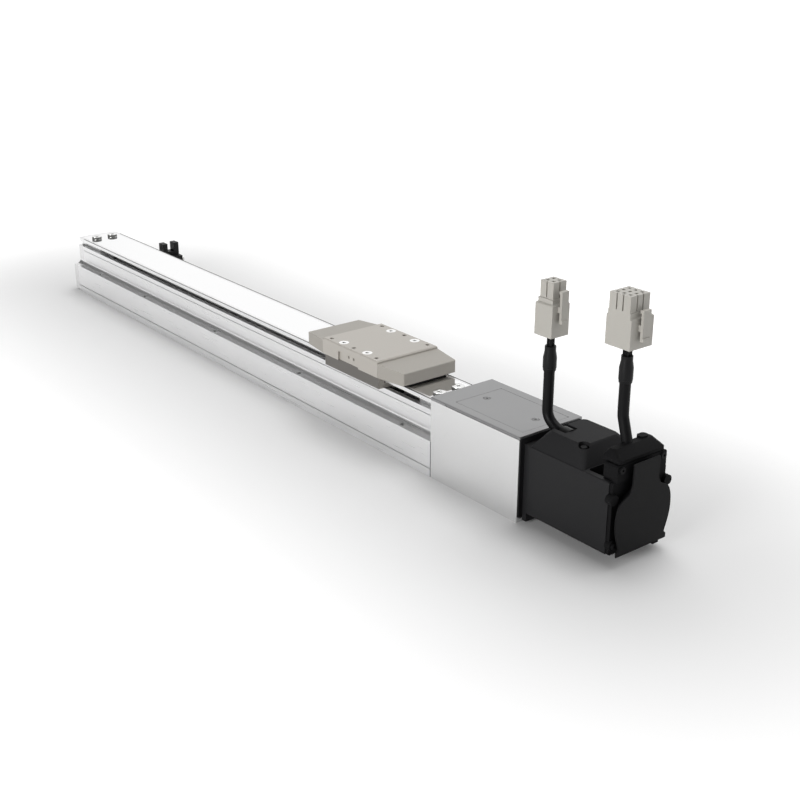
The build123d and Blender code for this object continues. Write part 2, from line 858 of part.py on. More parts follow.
def motor_shaft():
    start = coupling_start + coupling_hub_length + spider_length + 0.6
    shaft = rod_x(start, rear_bearing_x, 0, screw_axis_height, drive_journal_radius)
    rear_end = rear_bearing_x + rear_bearing_width + 1
    rear_journal = rod_x(rear_bearing_x, rear_end, 0, screw_axis_height, rear_journal_radius)
    tail = rod_x(rear_end, motor_rear - 6.2, 0, screw_axis_height, encoder_journal_radius)
    return shaft + rear_journal + tail


def motor_bearings(outer):
    front = (front_bearing_x, motor_bearing_width, motor_bearing_radius, drive_journal_radius)
    rear = (rear_bearing_x, rear_bearing_width, rear_bearing_radius, rear_journal_radius)
    pieces = []
    for x, width, radius, bore in (front, rear):
        if outer:
            pieces.append(bearing_outer_race(x, x + width, radius, bore))
        else:
            pieces.append(bearing_inner_race(x, x + width, bore))
    return Compound(children=pieces)


def rotor():
    body = rod_x(rotor_front, rotor_front + rotor_length, 0, screw_axis_height, rotor_radius)
    bore_end = rotor_front + rotor_length + 1
    return body - rod_x(rotor_front - 1, bore_end, 0, screw_axis_height, drive_journal_radius)


def encoder_disc():
    disc = rod_x(motor_rear - 9.4, motor_rear - 8.4, 0, screw_axis_height, 12.0)
    hub = rod_x(motor_rear - 11.4, motor_rear - 7.6, 0, screw_axis_height, 4.6)
    return disc + hub - rod_x(motor_rear - 14, motor_rear, 0, screw_axis_height, encoder_journal_radius)


# Motor body
def motor_screw_places():
    places = []
    for side in (-1, 1):
        for level in (-1, 1):
            y = side * motor_screw_spacing / 2
            places.append((y, screw_axis_height + level * motor_screw_spacing / 2))
    return places


def backing_plate():
    x_to = motor_front + backing_thickness
    shape = block(motor_front, x_to, -backing_half_width, backing_half_width, 3.4, housing_height - 0.8)
    shape = fillet(shape.edges().filter_by(Axis.X).group_by(Axis.Z)[-1], 2.0)
    shape = shape - rod_x(motor_front - 1, x_to + 1, 0, screw_axis_height, pilot_radius + pilot_gap)
    for y, z in motor_screw_places():
        shape = shape - rod_x(motor_front - 1, x_to + 1, y, z, motor_screw_radius)
    return shape


def motor_flange():
    x_from = motor_front + backing_thickness
    shape = block(x_from, stator_front, -motor_half_width, motor_half_width, flange_bottom, motor_top)
    bearing_end = front_bearing_x + motor_bearing_width
    shape = shape + rod_x(motor_front - pilot_depth, x_from + 1, 0, screw_axis_height, pilot_radius)
    shape = shape + rod_x(x_from, bearing_end, 0, screw_axis_height, core_radius)
    shape = shape - rod_x(motor_front - 5, bearing_end + 1, 0, screw_axis_height, 7.0)
    seat = rod_x(front_bearing_x, bearing_end + 1, 0, screw_axis_height, motor_bearing_radius)
    shape = shape - seat
    for y, z in motor_screw_places():
        shape = shape - rod_x(x_from - 1, stator_front + 1, y, z, motor_screw_radius)
    return shape


def motor_screws():
    pieces = []
    for y, z in motor_screw_places():
        shank = motor_wall + backing_thickness + flange_thickness
        radius = motor_screw_radius - 0.05
        pieces.append(screw_x(housing_length - motor_wall, y, z, motor_head_radius, motor_head_length,
                              radius, shank, 2.5, -1))
    return join(pieces)


def gap_shape():
    x_from = motor_front + hood_start + hood_length + 0.4
    x_to = stator_rear - gap_rear_wall
    side = motor_half_width - gap_lip
    pocket = block(x_from, x_to, -side, side, motor_top - gap_depth, motor_top + 1)
    return fillet(pocket.edges().filter_by(Axis.Z), 1.5)


def stator_body():
    rear = stator_rear
    width = motor_half_width
    shape = block(stator_front, rear, -width, width, motor_bottom, motor_top)
    edges = shape.edges().filter_by(Axis.X)
    shape = fillet(edges, 0.8)
    shape = shape - gap_shape()
    core_end = rotor_front + rotor_length + 1.5
    seat_end = rear_bearing_x + rear_bearing_width
    shape = shape - rod_x(stator_front - 1, core_end, 0, screw_axis_height, core_radius + 0.1)
    shape = shape - rod_x(core_end, seat_end, 0, screw_axis_height, rear_bearing_radius)
    shape = shape - rod_x(seat_end, rear, 0, screw_axis_height, rear_bearing_radius - 1)
    for y, z in encoder_screw_places():
        if z < motor_top:
            shape = shape - rod_x(rear - 2, rear + 1, y, z, encoder_screw_radius + 0.05)
    return shape - rod_x(rear - 12, rear + 1, 0, screw_axis_height, encoder_cavity_radius)


def stator_core():
    core_end = rotor_front + rotor_length
    ring = rod_x(rotor_front, core_end, 0, screw_axis_height, core_radius)
    return ring - rod_x(rotor_front - 1, core_end + 1, 0, screw_axis_height, rotor_radius + 0.5)


def shaft_seal():
    ring = rod_x(motor_front - 2.4, motor_front + 1.6, 0, screw_axis_height, 6.95)
    return ring - rod_x(motor_front - 4, motor_front + 3, 0, screw_axis_height, drive_journal_radius + 0.35)


def rounded_block(x_from, x_to, y_from, y_to, z_from, z_to, radius):
    shape = block(x_from, x_to, y_from, y_to, z_from, z_to)
    return fillet(shape.edges().filter_by(Axis.Z), radius)


def hood_section(inset, level, radius):
    x_from = motor_front + hood_start + inset
    x_to = motor_front + hood_start + hood_length - inset
    outline = RectangleRounded(x_to - x_from, 2 * (hood_half_width - inset), radius)
    return Plane.XY.offset(level) * Pos((x_from + x_to) / 2 + joint_x, 0) * outline


def hood_screw_place():
    x = motor_front + hood_start + hood_length - hood_taper - 2.6
    return x, -(hood_half_width - hood_taper - 2.6)


def lead_notch_rear():
    return motor_front + hood_start + lead_notch_end - 4.8


def power_hood():
    foot = hood_section(0, motor_top, 2.0)
    shoulder = hood_section(hood_taper, hood_shoulder, 3.6)
    crown = hood_section(hood_taper + hood_crown_inset, hood_top, 3.0)
    shape = loft([foot, shoulder], ruled=True) + loft([shoulder, crown], ruled=True)
    x_from = motor_front + hood_start
    x_to = lead_notch_rear()
    low = power_lead_y - lead_notch_side
    high = power_lead_y + lead_notch_side
    notch = block(x_from - 1, x_to, low, high, power_exit_height - lead_notch_depth, hood_top + 1)
    bore = rod_x(x_from, x_to + 3, power_lead_y, power_exit_height, lead_radius)
    x, y = hood_screw_place()
    cup = rod_z(x, y, hood_top - 4.2, hood_top + 1, 3.0)
    stud = rod_z(x, y, hood_top - 4.3, hood_top - 1.6, 1.8)
    return shape - notch - bore - cup + stud


def lead_clip():
    x_to = lead_notch_rear()
    x_from = x_to - clip_length
    ring = rod_x(x_from, x_to, power_lead_y, power_exit_height, lead_radius + 1.5)
    floor = power_exit_height - lead_notch_depth
    foot = block(x_from, x_to, power_lead_y - 3.4, power_lead_y + 3.4, floor, power_exit_height)
    bore = rod_x(x_from - 1, x_to + 1, power_lead_y, power_exit_height, lead_radius + 0.05)
    return ring + foot - bore


def encoder_screw_places():
    lower = motor_half_width - 2.0
    upper = shoulder_half_width - 3.1
    return [(-upper, shoulder_top - 2.5), (upper, shoulder_top - 2.5), (-lower, 12.0), (lower, 12.0)]


def encoder_base():
    x_from = stator_rear
    width = motor_half_width - 0.5
    x_to = x_from + encoder_base_length
    shape = block(x_from, x_to, -width, width, motor_bottom, motor_top)
    shape = fillet(shape.edges().filter_by(Axis.X), 1.2)
    shape = shape - rod_x(x_from - 1, x_to + 1, 0, screw_axis_height, encoder_cavity_radius)
    for side in (-1, 1):
        shape = shape + rod_x(x_from, x_to + 2.0, side * (width + 0.2), 38.6, 2.9)
        shape = shape + rod_x(x_from, x_to + 1.4, side * (width - 1.5), 12.0, 2.8)
    tab_from = 0.64 * width
    tab = block(x_from, x_to + 1.4, tab_from, tab_from + 4.4, motor_bottom - 3.4, motor_bottom + 1)
    return shape + tab


def encoder_screws():
    pieces = []
    x = stator_rear + encoder_base_length + 1.4
    for y, z in encoder_screw_places():
        rise = shoulder_rear if z > motor_top else x
        pieces.append(screw_x(rise, y, z, 1.9, 1.1, encoder_screw_radius, 4.6, 1.3, 1))
    return join(pieces)


# Raised rear cap of the encoder, wide at its belly and waisted to a neck below the hump
def rear_outline(shrink):
    low = cap_bottom + shrink / 2
    heel = (cap_heel_half_width - shrink, low)
    heel_top = (cap_heel_half_width - shrink, low + cap_heel_height)
    foot = (cap_foot_half_width - shrink, low + cap_heel_height + 1.6)
    belly = (cap_belly_half_width - shrink, screw_axis_height + 1.6)
    shoulder = (cap_shoulder_half_width - shrink, cap_shoulder_height)
    neck = (cap_neck_half_width - shrink, cap_neck_height)
    corner = (cap_neck_half_width - shrink, cap_top - shrink / 2)
    curve = Spline(foot, belly, shoulder, neck, tangents=[(0.35, 1), (-0.1, 1)])
    side = [Line(heel, heel_top), Line(heel_top, foot), curve, Line(neck, corner)]
    other = [edge.mirror(Plane.YZ) for edge in side]
    bottom = Line((-heel[0], low), heel)
    top = Line(corner, (-corner[0], corner[1]))
    return make_face([bottom] + side + [top] + other)


def encoder_cap():
    seat = stator_rear + encoder_base_length
    plate_x = motor_rear - cap_plate
    plate = extrude(Plane.YZ.offset(plate_x + joint_x) * rear_outline(0), cap_plate)
    core = extrude(Plane.YZ.offset(seat + joint_x) * rear_outline(cap_undercut), plate_x - seat)
    return plate + core


# Lid over the encoder: a shallow hipped roof that overhangs the gap and holds the lead
def lid_section(x_from, x_to, side, level, radius):
    outline = RectangleRounded(x_to - x_from, 2 * side, radius)
    return Plane.XY.offset(level) * Pos((x_from + x_to) / 2 + joint_x, 0) * outline


def encoder_lid():
    x_from = stator_rear - lid_start
    eaves = shoulder_top + lid_gap
    edge = eaves + lid_edge
    ridge_from = x_from + lid_taper
    ridge_to = ridge_from + lid_top_length
    side = lid_half_width
    rim = extrude(lid_section(x_from, shoulder_rear, side, eaves, 1.6), lid_edge)
    low = lid_section(x_from, shoulder_rear, side, edge, 1.6)
    high = lid_section(ridge_from, ridge_to, side - lid_taper, lid_top, 1.6)
    neck = block(x_from + 4.4, shoulder_rear - 0.8, 0.8 - side, side - 0.8, shoulder_top - 1, eaves + 1)
    boss = rounded_block(ridge_from - 1.6, ridge_from + 3.0, 6.6, 12.8, edge, lid_top + 0.9, 2.1)
    return rim + loft([low, high], ruled=True) + neck + boss


def encoder_hump():
    start = stator_rear - shoulder_start
    wide = shoulder_half_width
    shoulders = block(start, shoulder_rear, -wide, wide, motor_top, shoulder_top)
    shoulders = fillet(shoulders.edges().filter_by(Axis.X).group_by(Axis.Z)[-1], 1.4)
    for side in (-1, 1):
        low, high = sorted((side * (wide - 0.9), side * (wide + 1)))
        shoulders = shoulders - block(start - 1, stator_rear, low, high, motor_top + 0.2, motor_top + 1.6)
    cavity = rod_x(stator_rear - 1, shoulder_rear + 1, 0, screw_axis_height, encoder_cavity_radius)
    return shoulders + encoder_lid() - cavity - tube_on(encoder_path(), lead_radius)


# Leads and their plugs
def turn_radius(before, corner, after):
    run_in = Vector(*corner) - Vector(*before)
    run_out = Vector(*after) - Vector(*corner)
    half_turn = run_in.get_angle(run_out) / 2
    return 0.45 * min(run_in.length, run_out.length) / math.tan(math.radians(half_turn))


def power_points():
    start = motor_front + hood_start + lead_notch_end - 1.8
    exit_point = (start + joint_x, power_lead_y, power_exit_height)
    corner = (power_lead_x + joint_x, power_lead_y, power_exit_height)
    top = (power_lead_x + joint_x, power_lead_y, power_sleeve_top - 2.0)
    return exit_point, corner, top


def power_path():
    return FilletPolyline(*power_points(), radius=power_turn_radius)


def encoder_points():
    base = (encoder_base_x + joint_x, encoder_lead_y, shoulder_top + 1.9)
    kink = (encoder_lead_x + joint_x, encoder_lead_y, encoder_kink_height)
    top = (encoder_lead_x + joint_x, encoder_lead_y, encoder_sleeve_top - 2.0)
    return base, kink, top


def encoder_path():
    base, kink, top = encoder_points()
    return FilletPolyline(base, kink, top, radius=turn_radius(base, kink, top))


def tube_on(path, radius):
    start = path @ 0
    direction = path % 0
    plane = Plane(origin=start, z_dir=direction)
    return sweep(plane * Circle(radius), path=path)


def lead_sleeve(x, y, z_from, z_to):
    shape = rod_z(x, y, z_from, z_to, sleeve_radius)
    shape = chamfer(shape.edges().group_by(Axis.Z)[-1], 1.0)
    return shape - rod_z(x, y, z_from - 1, z_to + 1, lead_radius)


def lead_wires(x, y, z_from, z_to, rows, wire_radius):
    pieces = []
    pitch = 2 * wire_radius + 0.1
    for column in range(rows):
        for row in range(rows):
            dx = (column - (rows - 1) / 2) * pitch
            dy = (row - (rows - 1) / 2) * pitch
            pieces.append(rod_z(x + dx, y + dy, z_from, z_to, wire_radius))
    return join(pieces)


def plug_body(x, y, bottom, height, poles, body_side, nose_side, body_share, flush):
    shoulder = bottom + height * body_share
    top = bottom + height
    half = body_side / 2
    nose = nose_side / 2
    body_low = y - half
    shape = block(x - half, x + half, y - half, y + half, bottom, shoulder)
    shape = chamfer(shape.edges().group_by(Axis.Z)[-1], 0.8)
    if flush:
        y = y - half + nose
    collar = (half + nose) / 2 - 0.2
    low = max(y - collar, body_low)
    shape = shape + block(x - collar, x + collar, low, y + collar, shoulder - 1, shoulder + 2.4)
    shape = shape + block(x - nose, x + nose, y - nose, y + nose, shoulder - 1, top)
    pitch = contact_pitch
    for column in range(poles):
        for row in range(poles):
            px = x + (column - (poles - 1) / 2) * pitch
            py = y + (row - (poles - 1) / 2) * pitch
            cavity = block(px - 0.9, px + 0.9, py - 0.9, py + 0.9, top - 9, top + 1)
            shape = shape - cavity
    for gap in range(poles - 1):
        offset = (gap - (poles - 2) / 2) * pitch
        for side in (-1, 1):
            low, high = sorted((side * (nose - 0.9), side * (nose + 1)))
            slot_low = shoulder + 2.9
            shape = shape - block(x + offset - 0.4, x + offset + 0.4, y + low, y + high, slot_low, top + 1)
            shape = shape - block(x + low, x + high, y + offset - 0.4, y + offset + 0.4, slot_low, top + 1)
    y = y + half - nose if flush else y
    entry = block(x - half + 1.6, x + half - 1.6, y - half + 1.6, y + half - 1.6, bottom - 1, bottom + 6)
    return shape - entry


def plug_latch(x, y, bottom, height, body_side, low_share, high_share, width):
    face = x + body_side / 2
    low = bottom + height * low_share
    high = bottom + height * high_share
    middle = low + (high - low) * 0.42
    lever = block(face + 1.3, face + 2.9, y - width / 2, y + width / 2, low, high)
    web = block(face, face + 1.5, y - width / 2, y + width / 2, middle - 1.6, middle + 1.6)
    catch = block(face + 0.5, face + 1.5, y - width / 2, y + width / 2, high - 1.6, high)
    thumb = block(face + 2.7, face + 3.5, y - width / 2, y + width / 2, low, low + 1.8)
    return lever + web + catch + thumb


# Write every piece
save(base_profile(), "base_profile")
save(guide_rail(-1), "front_guide_rail")
save(guide_rail(1), "back_guide_rail")
save(far_end_plate(), "far_end_plate")
save(end_plate_screws(), "end_plate_screws")
save(far_bearing_block(), "far_bearing_block")
save(drive_bearing_block(), "drive_bearing_block")
far_bearing_end = far_bearing_x + far_bearing_width
save(bearing_outer_race(far_bearing_x, far_bearing_end, far_bearing_radius, far_journal_radius),
     "far_bearing_outer")
save(bearing_inner_race(far_bearing_x, far_bearing_end, far_journal_radius), "far_bearing_inner")
save(bearing_pair(True), "drive_bearing_outers")
save(bearing_pair(False), "drive_bearing_inners")
save(bearing_retainer(), "bearing_retainer")
far_stop = rubber_stop(far_block_end, far_block_end + stop_length)
near_stop = rubber_stop(-drive_block_length - stop_length, -drive_block_length)
save(far_stop + near_stop, "rubber_stops")
save(drive_housing(), "drive_housing")
save(housing_top_cover(), "housing_top_cover")
save(access_cover(), "access_cover")
save(top_cover(), "top_cover")
save(cover_strip(), "cover_strip")
far_clamps = clamp_screws(far_clamp_x, clamp_head_height, far_clamp_depth)
near_clamps = clamp_screws(near_clamp_x, near_clamp_head_height, near_clamp_depth)
save(far_clamps + near_clamps + access_cover_screws(), "cover_screws")
save(sensor_body(), "slot_sensor")
save(sensor_bracket(), "sensor_bracket")
save(sensor_screws(), "sensor_screws")
save(carriage(), "carriage")
save(ball_nut(), "ball_nut")
save(carriage_seal(-1) + carriage_seal(1), "carriage_seals")
save(table_plate(), "table_plate")
save(thread_inserts(), "thread_inserts")
save(table_screws() + flag_screws() + nut_screws() + grease_plugs(), "table_screws")
save(end_cap(-1), "far_end_cap")
save(end_cap(1), "near_end_cap")
save(strip_wiper(-1) + strip_wiper(1), "strip_wipers")
save(sensor_flag(), "sensor_flag")
save(ball_screw(), "ball_screw")
save(lock_nut(), "lock_nut")
hub_end = coupling_start + coupling_hub_length
jaw_end = hub_end + spider_length
save(coupling_hub(coupling_start, hub_end, hub_end - 1, jaw_end - 0.4, 7, coupling_start + 7),
     "screw_hub")
save(coupling_hub(jaw_end, jaw_end + coupling_hub_length, hub_end + 0.4, jaw_end + 1, 67, jaw_end + 7),
     "motor_hub")
save(coupling_spider(), "coupling_spider")
save(motor_shaft(), "motor_shaft")
save(rotor(), "rotor")
save(motor_bearings(True), "motor_bearing_outers")
save(motor_bearings(False), "motor_bearing_inners")
save(encoder_disc(), "encoder_disc")
save(backing_plate(), "backing_plate")
save(motor_flange(), "motor_flange")
save(motor_screws() + encoder_screws(), "motor_screws")
save(stator_body(), "stator_body")
save(stator_core(), "stator_core")
save(shaft_seal(), "shaft_seal")
save(power_hood(), "power_hood")
save(lead_clip(), "lead_clip")
save(encoder_base() + encoder_hump() - encoder_cap() - encoder_screws(), "encoder_cover")
save(encoder_cap() - encoder_screws(), "encoder_cap")

save(tube_on(power_path(), lead_radius), "power_lead")
save(lead_sleeve(power_lead_x, power_lead_y, power_sleeve_bottom, power_sleeve_top), "power_sleeve")
wires_from = power_sleeve_top - 2
wires_to = power_plug_bottom + 6
save(lead_wires(power_lead_x, power_lead_y, wires_from, wires_to, 2, power_wire_radius), "power_wires")
power_plug = plug_body(power_lead_x, power_lead_y, power_plug_bottom, power_plug_height,
                       2, power_plug_side, 9.6, 0.615, False)
power_latch = plug_latch(power_lead_x, power_lead_y, power_plug_bottom, power_plug_height,
                         power_plug_side, 0.27, 0.86, 5.0)
save(power_plug + power_latch, "power_plug")
save(tube_on(encoder_path(), lead_radius), "encoder_lead")
save(lead_sleeve(encoder_lead_x, encoder_lead_y, encoder_sleeve_bottom, encoder_sleeve_top),
     "encoder_sleeve")
wires_from = encoder_sleeve_top - 2
wires_to = encoder_plug_bottom + 6
save(lead_wires(encoder_lead_x, encoder_lead_y, wires_from, wires_to, 3, encoder_wire_radius),
     "encoder_wires")
encoder_plug = plug_body(encoder_lead_x, encoder_lead_y, encoder_plug_bottom, encoder_plug_height,
                         3, encoder_plug_side, 13.9, 0.6, True)
encoder_latch = plug_latch(encoder_lead_x, encoder_lead_y, encoder_plug_bottom, encoder_plug_height,
                           encoder_plug_side, 0.16, 0.74, 5.4)
save(encoder_plug + encoder_latch, "encoder_plug")

encoder_start, encoder_corner, encoder_end = encoder_points()
print("power lead turns with a radius of", power_turn_radius, "mm")
encoder_turn = turn_radius(encoder_start, encoder_corner, encoder_end)
print("encoder lead turns with a radius of", round(encoder_turn, 1), "mm")
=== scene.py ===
# %% [markdown]
# # A screw slide table
# The object is a slim electric slide. A motor turns a ball screw inside an aluminium
# profile, and a small table rides along the top. The CAD model gives every piece its
# size and place. This file gives each piece its finish, and models the small things that
# only the eye needs. Stage, lamps and camera are set in metres. Places and sizes on the
# object are in millimetres, and MM turns them into metres.

# %% Load the frame
import bpy
import json
import math
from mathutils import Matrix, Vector

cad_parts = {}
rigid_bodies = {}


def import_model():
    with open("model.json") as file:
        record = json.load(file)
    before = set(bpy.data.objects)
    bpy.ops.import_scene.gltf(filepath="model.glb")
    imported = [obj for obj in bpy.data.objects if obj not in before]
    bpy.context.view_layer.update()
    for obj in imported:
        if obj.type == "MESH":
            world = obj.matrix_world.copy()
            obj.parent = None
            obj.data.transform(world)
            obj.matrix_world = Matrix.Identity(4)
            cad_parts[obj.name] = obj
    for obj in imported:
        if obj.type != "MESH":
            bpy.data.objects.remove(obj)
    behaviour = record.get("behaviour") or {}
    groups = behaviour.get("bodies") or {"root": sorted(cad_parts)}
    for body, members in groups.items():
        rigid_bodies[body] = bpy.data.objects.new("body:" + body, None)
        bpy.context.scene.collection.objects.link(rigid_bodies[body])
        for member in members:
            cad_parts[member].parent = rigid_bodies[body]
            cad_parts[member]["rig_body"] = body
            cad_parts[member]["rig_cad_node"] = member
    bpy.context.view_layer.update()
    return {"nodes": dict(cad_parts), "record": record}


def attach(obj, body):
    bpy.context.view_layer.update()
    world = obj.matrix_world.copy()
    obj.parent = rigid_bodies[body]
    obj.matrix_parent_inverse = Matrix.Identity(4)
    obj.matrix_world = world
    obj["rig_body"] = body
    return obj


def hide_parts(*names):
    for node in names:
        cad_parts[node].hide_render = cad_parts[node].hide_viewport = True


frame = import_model()
nodes = frame["nodes"]
body_nodes = frame["record"]["behaviour"]["bodies"]
body_of_node = {node: body for body, names in body_nodes.items() for node in names}
print("pieces from the CAD model:", len(nodes))

# %% [markdown]
# ## Camera
# The picture was taken from beyond the motor end, a little above the table. Its place and
# lens come from fitting the long straight edges of the object. A long lens keeps the far
# end from shrinking too fast.

# %% Camera
camera_place = (0.6924, -0.4474, 0.3153)
camera_heading = math.radians(142.03)
camera_pitch = math.radians(-21.76)
quarter_turn = math.radians(90)
lens_length = 54.99
sensor_width = 36

bpy.ops.object.camera_add(
    location=camera_place,
    rotation=(quarter_turn + camera_pitch, 0, camera_heading - quarter_turn))
camera = bpy.context.object
camera.name = "camera"
camera.data.lens = lens_length
camera.data.sensor_width = sensor_width
bpy.context.scene.camera = camera
bpy.context.scene.view_settings.view_transform = "Standard"
print("camera with a lens of", lens_length, "mm")

# %% [markdown]
# ## Helpers for modelling
# An operator works on all that is selected, so each step starts by clearing the
# selection. Every finished piece keeps its object at the origin, with its place in its
# mesh, so that patterns on object coordinates stay where they are.

# %% Helpers for modelling
MM = 0.001
sharp_angle = math.radians(35)
smooth_angle = math.radians(32)
bevel_steps = 2


def clear_selection():
    if bpy.context.object and bpy.context.object.mode != "OBJECT":
        bpy.ops.object.mode_set(mode="OBJECT")
    bpy.ops.object.select_all(action="DESELECT")


def pick(piece):
    clear_selection()
    piece.select_set(True)
    bpy.context.view_layer.objects.active = piece


def settle(piece):
    pick(piece)
    bpy.ops.object.transform_apply(location=True, rotation=True, scale=True)


def put_modifier(piece, kind, **settings):
    pick(piece)
    modifier = piece.modifiers.new(kind.title(), kind)
    for name, value in settings.items():
        setattr(modifier, name, value)
    bpy.ops.object.modifier_apply(modifier=modifier.name)


def round_edges(piece, width, **settings):
    put_modifier(piece, "BEVEL", width=width, segments=bevel_steps, limit_method="ANGLE",
                 angle_limit=sharp_angle, **settings)


def cut(piece, cutter):
    put_modifier(piece, "BOOLEAN", object=cutter, operation="DIFFERENCE", solver="EXACT")
    bpy.data.objects.remove(cutter)


def smooth(piece):
    pick(piece)
    bpy.ops.object.shade_smooth_by_angle(angle=smooth_angle)


def join_pieces(pieces, name):
    clear_selection()
    for piece in pieces:
        piece.select_set(True)
    bpy.context.view_layer.objects.active = pieces[0]
    bpy.ops.object.join()
    joined = bpy.context.object
    joined.name = name
    return joined


def dress(piece, material):
    piece.data.materials.clear()
    piece.data.materials.append(material)


# %% [markdown]
# ## Helpers for materials
# A material is a net of small nodes. One helper adds a sum or another step of arithmetic,
# and one turns a range of values into another range.

# %% Helpers for materials


def math_node(net, links, operation, first, second=None):
    node = net.new("ShaderNodeMath")
    node.operation = operation
    for socket, value in zip(node.inputs, (first, second)):
        if value is None:
            continue
        if isinstance(value, (int, float)):
            socket.default_value = value
        else:
            links.new(value, socket)
    return node.outputs[0]


def map_range(net, links, value, old_range, new_range, interpolation="SMOOTHSTEP"):
    node = net.new("ShaderNodeMapRange")
    node.interpolation_type = interpolation
    node.inputs["From Min"].default_value, node.inputs["From Max"].default_value = old_range
    node.inputs["To Min"].default_value, node.inputs["To Max"].default_value = new_range
    links.new(value, node.inputs["Value"])
    return node.outputs["Result"]


# %% [markdown]
# ## Stage
# A plain pale floor runs to the horizon, so it is also the background. Close to the object
# it shows its own shade and the soft shadow. Further out it brightens in two steps to
# white, as a lit studio table does. Only rays from the camera and mirror rays see that
# extra brightness, so it adds no light to the object.

# %% Floor
floor_size = 60.0
floor_tone = 0.75
floor_roughness = 0.9
floor_gloss = 0.2
object_half_length = 0.32
near_rise = (0.0, 0.32)
far_rise = (0.6, 3.0)
rise_height = (0.0, 0.55)

bpy.ops.mesh.primitive_plane_add(size=floor_size, location=(0, 0, 0))
floor = bpy.context.object
floor.name = "floor"

floor_paint = bpy.data.materials.new("floor_paint")
floor_paint.use_nodes = True
floor_nodes = floor_paint.node_tree.nodes
floor_links = floor_paint.node_tree.links
floor_shader = floor_nodes["Principled BSDF"]
floor_shader.inputs["Base Color"].default_value = (floor_tone, floor_tone, floor_tone, 1)
floor_shader.inputs["Roughness"].default_value = floor_roughness
floor_shader.inputs["Specular IOR Level"].default_value = floor_gloss
dress(floor, floor_paint)
print("floor:", floor_size, "m wide")

# %% [markdown]
# The brightness depends on the distance from the object's long middle line, so the shade
# on the floor is long and slim as the object is.

# %% Floor that brightens with distance
floor_place = floor_nodes.new("ShaderNodeTexCoord")
floor_axes = floor_nodes.new("ShaderNodeSeparateXYZ")
floor_links.new(floor_place.outputs["Object"], floor_axes.inputs[0])
along_axis = math_node(floor_nodes, floor_links, "ABSOLUTE", floor_axes.outputs["X"])
beyond_end = math_node(floor_nodes, floor_links, "SUBTRACT", along_axis, object_half_length)
beyond_end = math_node(floor_nodes, floor_links, "MAXIMUM", beyond_end, 0.0)
end_square = math_node(floor_nodes, floor_links, "MULTIPLY", beyond_end, beyond_end)
across_axis = floor_axes.outputs["Y"]
side_square = math_node(floor_nodes, floor_links, "MULTIPLY", across_axis, across_axis)
square_sum = math_node(floor_nodes, floor_links, "ADD", end_square, side_square)
distance = math_node(floor_nodes, floor_links, "SQRT", square_sum)
first_step = map_range(floor_nodes, floor_links, distance, near_rise, rise_height)
second_step = map_range(floor_nodes, floor_links, distance, far_rise, rise_height)
whole_rise = math_node(floor_nodes, floor_links, "ADD", first_step, second_step)
ray = floor_nodes.new("ShaderNodeLightPath")
seen = math_node(floor_nodes, floor_links, "MAXIMUM",
                 ray.outputs["Is Camera Ray"], ray.outputs["Is Glossy Ray"])
lift = math_node(floor_nodes, floor_links, "MULTIPLY", whole_rise, seen)
floor_shader.inputs["Emission Color"].default_value = (1, 1, 1, 1)
floor_links.new(lift, floor_shader.inputs["Emission Strength"])
print("the floor brightens up to", near_rise[1], "m and again from", far_rise[0], "m away")

# %% [markdown]
# ## Surround
# The room is white towards the back, which fills the polished strip, and dark towards the
# front. The dark front is what keeps the upward ledges of the profile dark, because they
# show the wall beside them and the wall shows the front of the room. The camera itself sees
# a plain white background.

# %% Surround
towards_back = (0.0, 1.0, 0.0)
turn_to_white = (-0.10, 0.45)
front_and_back_tone = (0.10, 1.0)

world = bpy.data.worlds.new("studio")
bpy.context.scene.world = world
world.use_nodes = True
world_nodes = world.node_tree.nodes
world_links = world.node_tree.links
backdrop = world_nodes["Background"]
direction = world_nodes.new("ShaderNodeTexCoord")
backward_share = world_nodes.new("ShaderNodeVectorMath")
backward_share.operation = "DOT_PRODUCT"
backward_share.inputs[1].default_value = towards_back
world_links.new(direction.outputs["Generated"], backward_share.inputs[0])
room_tone = map_range(world_nodes, world_links, backward_share.outputs["Value"],
                      turn_to_white, front_and_back_tone)
world_ray = world_nodes.new("ShaderNodeLightPath")
tone = math_node(world_nodes, world_links, "MAXIMUM", room_tone, world_ray.outputs["Is Camera Ray"])
backdrop.inputs["Color"].default_value = (1, 1, 1, 1)
world_links.new(tone, backdrop.inputs["Strength"])
print("the room goes from", front_and_back_tone[0], "in front to", front_and_back_tone[1], "at the back")

# %% [markdown]
# ## Lamps
# Two big soft discs, one low in front for the long side and one high behind for the tops.
# Big discs give the wide soft shadows of a product picture.

# %% Lamps
lamp_rows = [
    # name, place, the point it looks at, diameter, watts
    ("front_lamp", (0.35, -2.1, 0.55), (0.0, 0.0, 0.03), 1.3, 32),
    ("top_lamp", (-0.2, 0.5, 2.2), (0.05, 0.0, 0.0), 1.6, 24),
]
for name, place, target, size, watts in lamp_rows:
    bpy.ops.object.light_add(type="AREA", location=place)
    lamp = bpy.context.object
    lamp.name = name
    lamp.data.shape = "DISK"
    lamp.data.size = size
    lamp.data.energy = watts
    aim = Vector(target) - Vector(place)
    lamp.rotation_euler = aim.to_track_quat("-Z", "Y").to_euler()
    print(name, "gives", watts, "watts")

# %% [markdown]
# ## Finishes
# Each finish is a small network on the Principled shader. A noise stretched along the
# extrusion direction gives drawn aluminium its faint streaks, and an even noise gives
# paint and moulded plastic their skin. The noise drives roughness and a fine bump, and a
# broad second noise shifts the colour a little, so no surface is one flat tone.

# %% Finishes: one network for all
patch_scale = 18.0
patch_detail = 2
grain_detail = 4
noise_middle = (0.3, 0.7)
relief_depth = 0.00005


